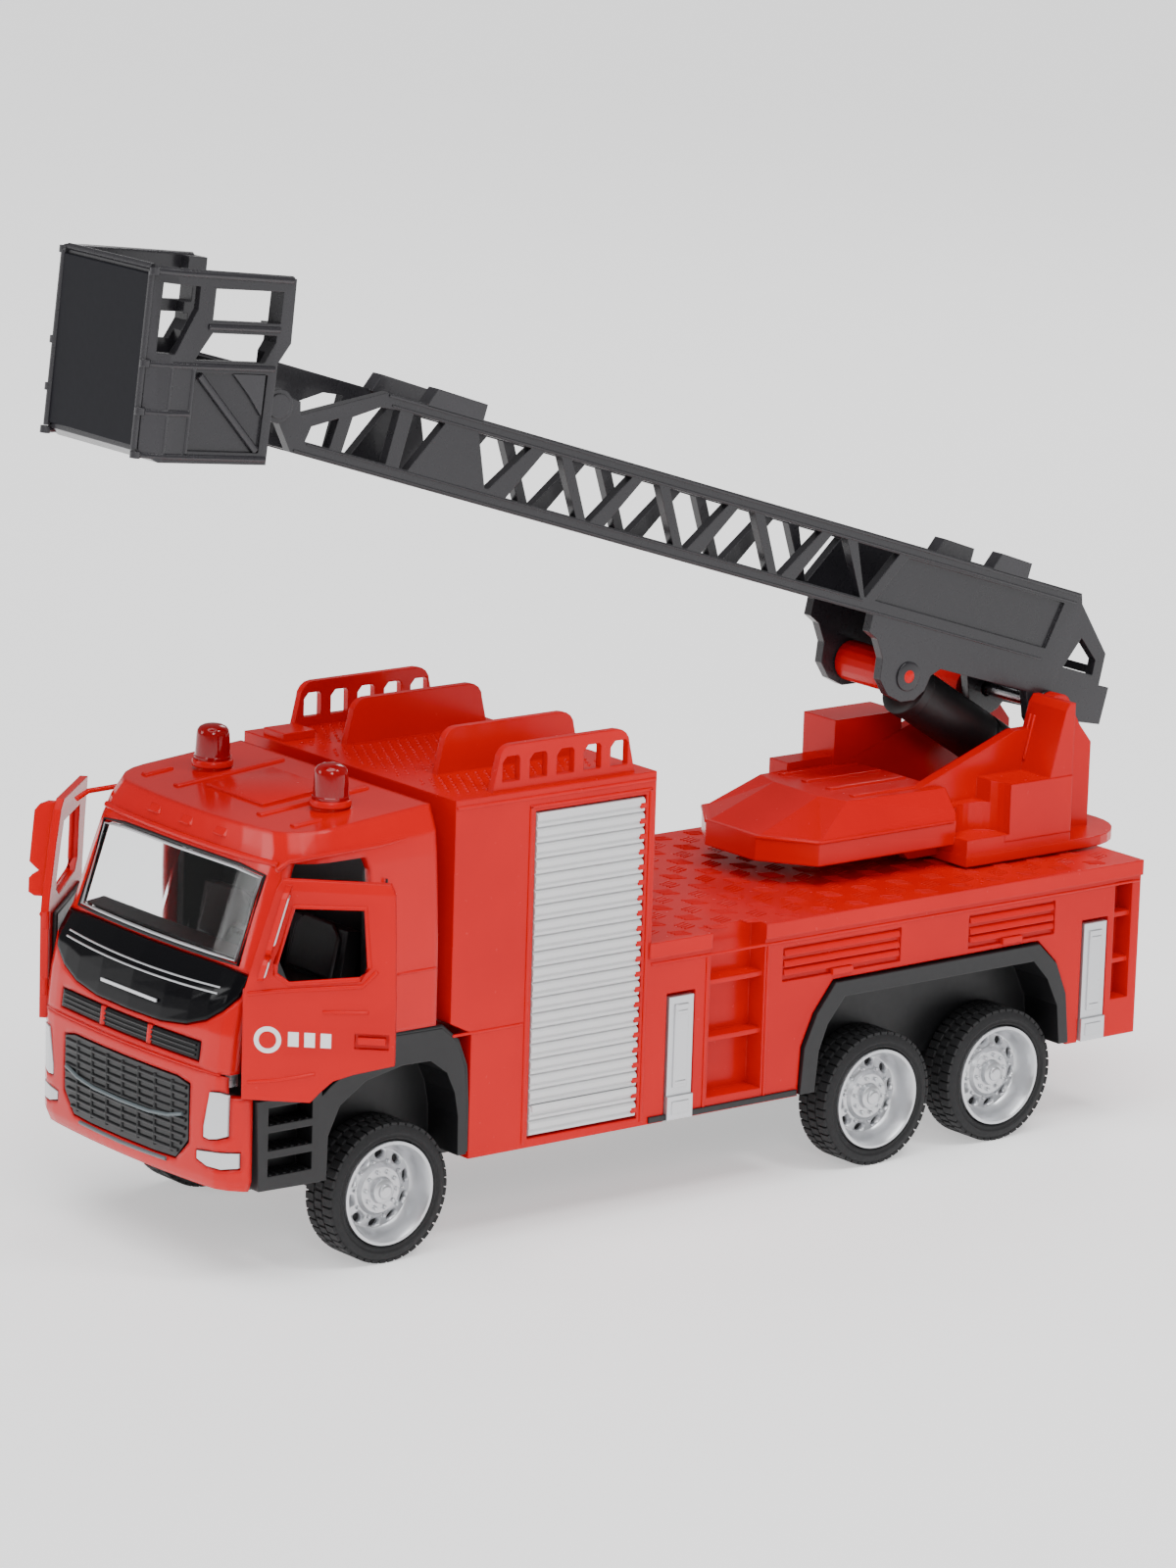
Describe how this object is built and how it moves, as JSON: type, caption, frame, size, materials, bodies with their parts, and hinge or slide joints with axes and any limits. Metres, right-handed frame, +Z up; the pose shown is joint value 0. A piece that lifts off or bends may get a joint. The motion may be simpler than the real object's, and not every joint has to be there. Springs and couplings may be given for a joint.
{
  "type": "toy fire engine",
  "caption": "Toy fire engine with opening cab doors, free-rolling wheels and a slewing turntable that carries a truss ladder boom with a tilting rescue basket.",
  "frame": {"origin": "centre of the resting model's outline on the floor", "axes": "+Z up, -Y towards the cab's front, +X towards the truck's left side"},
  "size_m": [0.0808, 0.1886, 0.1453],
  "materials": {
    "red_paint": "gloss",
    "red_plastic": "gloss",
    "charcoal_plastic": "satin",
    "black_plastic": "satin",
    "black_gloss": "gloss",
    "silver_plastic": "satin",
    "steel": "satin",
    "rubber": "matte",
    "clear_plastic": "clear",
    "beacon_plastic": "clear"
  },
  "bodies": {
    "truck": {"base_screw_front": "steel", "base_screw_middle": "steel", "base_screw_rear": "steel", "beacon_left": "beacon_plastic", "beacon_right": "beacon_plastic", "cab_interior": "black_plastic", "cab_shell": "red_paint", "chassis": "black_plastic", "fog_light_left": "clear_plastic", "fog_light_right": "clear_plastic", "front_band": "black_gloss", "front_bumper": "red_paint", "front_guard_left": "black_plastic", "front_guard_right": "black_plastic", "headlight_left": "clear_plastic", "headlight_right": "clear_plastic", "lower_grille": "black_plastic", "outrigger_front_left": "silver_plastic", "outrigger_front_right": "silver_plastic", "outrigger_rear_left": "silver_plastic", "outrigger_rear_right": "silver_plastic", "rear_arch_left": "black_plastic", "rear_arch_right": "black_plastic", "rear_body": "red_paint", "shutter_left": "silver_plastic", "shutter_right": "silver_plastic", "vent_strip": "black_plastic", "windscreen": "clear_plastic"},
    "door_left": {"door_left": "red_paint"},
    "door_right": {"door_right": "red_paint"},
    "turntable": {"turntable": "red_plastic", "turntable_retainer": "charcoal_plastic", "turntable_screw": "steel", "boom_pin": "steel", "barrel_pin": "steel"},
    "boom": {"boom": "charcoal_plastic", "basket_pin": "steel"},
    "lift_barrel": {"lift_barrel": "black_plastic"},
    "lift_rod": {"lift_rod": "red_plastic"},
    "basket": {"basket": "charcoal_plastic"},
    "axle_front": {"axle_front": "steel", "rim_front_left": "silver_plastic", "rim_front_right": "silver_plastic", "tyre_front_left": "rubber", "tyre_front_right": "rubber"},
    "axle_middle": {"axle_middle": "steel", "rim_middle_left": "silver_plastic", "rim_middle_right": "silver_plastic", "tyre_middle_left": "rubber", "tyre_middle_right": "rubber"},
    "axle_rear": {"axle_rear": "steel", "rim_rear_left": "silver_plastic", "rim_rear_right": "silver_plastic", "tyre_rear_left": "rubber", "tyre_rear_right": "rubber"}
  },
  "joints": [
    {"name": "door_left_hinge", "type": "hinge", "parent": "truck", "child": "door_left", "pos_m": [0.0255, -0.0842, 0.044], "axis": [0, 0, 1], "range_deg": [-25, 43]},
    {"name": "door_right_hinge", "type": "hinge", "parent": "truck", "child": "door_right", "pos_m": [-0.0255, -0.0842, 0.044], "axis": [0, 0, 1], "range_deg": [-43, 25]},
    {"name": "axle_front_turn", "type": "hinge", "parent": "truck", "child": "axle_front", "pos_m": [0, -0.0586, 0.0105], "axis": [1, 0, 0], "continuous": true},
    {"name": "axle_middle_turn", "type": "hinge", "parent": "truck", "child": "axle_middle", "pos_m": [0, 0.0337, 0.0105], "axis": [1, 0, 0], "continuous": true},
    {"name": "axle_rear_turn", "type": "hinge", "parent": "truck", "child": "axle_rear", "pos_m": [0, 0.0585, 0.0105], "axis": [1, 0, 0], "continuous": true},
    {"name": "turntable_swing", "type": "hinge", "parent": "truck", "child": "turntable", "pos_m": [0, 0.0755, 0.043], "axis": [0, 0, 1], "continuous": true},
    {"name": "boom_lift", "type": "hinge", "parent": "turntable", "child": "boom", "pos_m": [0, 0.0813, 0.0631], "axis": [-1, 0, 0], "range_deg": [-17, 42]},
    {"name": "barrel_swing", "type": "hinge", "parent": "turntable", "child": "lift_barrel", "pos_m": [0, 0.077, 0.0553], "axis": [-1, 0, 0], "range_deg": [-20, 45]},
    {"name": "rod_swing", "type": "hinge", "parent": "boom", "child": "lift_rod", "pos_m": [0, 0.0521, 0.07092], "axis": [-1, 0, 0], "range_deg": [-10, 10]},
    {"name": "basket_tilt", "type": "hinge", "parent": "boom", "child": "basket", "pos_m": [0, -0.06969, 0.12384], "axis": [-1, 0, 0], "range_deg": [-40, 20]}
  ],
  "couplings": [
    {"joint": "barrel_swing", "follows": "boom_lift", "ratio": 0.89},
    {"joint": "rod_swing", "follows": "boom_lift", "ratio": -0.11}
  ]
}
